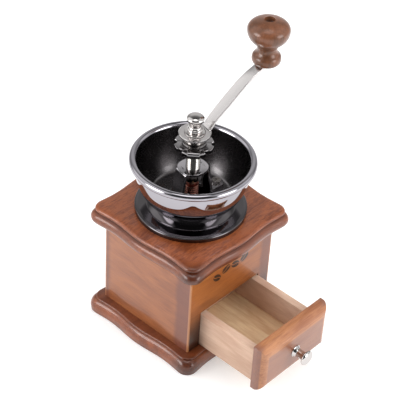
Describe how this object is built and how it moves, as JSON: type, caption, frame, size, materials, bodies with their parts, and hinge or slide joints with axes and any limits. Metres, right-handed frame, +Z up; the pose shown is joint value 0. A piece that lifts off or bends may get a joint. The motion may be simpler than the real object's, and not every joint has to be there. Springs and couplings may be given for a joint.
{
  "type": "burr coffee grinder",
  "caption": "Hand-cranked box mill for coffee: flared metal hopper with conical burrs over a wooden box with a pull-out drawer for the grounds",
  "frame": {"origin": "middle of the base board's underside, on the surface that the mill stands on", "axes": "+Z up along the shaft, -Y toward the drawer's front, +X to the right seen from the front"},
  "size_m": [0.1479, 0.2018, 0.2755],
  "materials": {
    "board_wood": "satin varnish",
    "wall_wood": "satin varnish",
    "panel_wood": "satin varnish",
    "knob_wood": "satin varnish",
    "drawer_wood": "bare plywood",
    "dark_chrome": "polished black nickel",
    "bright_chrome": "polished",
    "cast_iron": "as cast, dark",
    "dark_steel": "darkened",
    "spring_steel": "copper washed",
    "bright_steel": "bright"
  },
  "bodies": {
    "mill": {"base_board": "board_wood", "base_screws": "bright_steel", "left_wall": "wall_wood", "right_wall": "wall_wood", "back_wall": "wall_wood", "front_wall": "wall_wood", "top_board": "board_wood", "hopper_foot": "dark_chrome", "hopper_bowl": "dark_chrome", "outer_burr": "cast_iron", "bridge": "dark_chrome", "bridge_screws": "bright_steel", "threaded_post": "bright_steel"},
    "locking": {"lock_plate": "dark_steel"},
    "adjusting": {"adjusting_wheel": "dark_steel"},
    "spindle": {"thrust_collar": "bright_steel", "crank_arm": "bright_chrome", "hub_washer": "bright_chrome", "ball_nut": "bright_chrome", "spindle_shaft": "bright_steel", "burr_spring": "spring_steel", "inner_burr": "cast_iron", "burr_washer": "bright_steel", "burr_nut": "bright_steel", "handle_bolt": "bright_steel"},
    "handle": {"handle_knob": "knob_wood"},
    "drawer": {"drawer_front": "panel_wood", "drawer_left_side": "drawer_wood", "drawer_right_side": "drawer_wood", "drawer_back": "drawer_wood", "drawer_floor": "drawer_wood", "drawer_knob": "bright_chrome", "drawer_knob_screw": "bright_steel"}
  },
  "joints": [
    {"name": "drawer_slide", "type": "slide", "parent": "mill", "child": "drawer", "axis": [0, -1, 0], "range_m": [-0.0631, 0.018]},
    {"name": "grind_lift", "type": "slide", "parent": "mill", "child": "locking", "axis": [0, 0, 1], "range_m": [-0.0015, 0.0015]},
    {"name": "grind_adjust", "type": "hinge", "parent": "locking", "child": "adjusting", "pos_m": [0, 0, 0.1805], "axis": [0, 0, 1], "range_deg": [-270, 270]},
    {"name": "crank_turn", "type": "hinge", "parent": "locking", "child": "spindle", "pos_m": [0, 0, 0.192], "axis": [0, 0, 1], "continuous": true},
    {"name": "handle_spin", "type": "hinge", "parent": "spindle", "child": "handle", "pos_m": [0.06795, -0.01198, 0.2353], "axis": [0, 0, 1], "continuous": true}
  ],
  "couplings": [
    {"joint": "grind_adjust", "follows": "grind_lift", "rad_per_m": 3141.6}
  ]
}
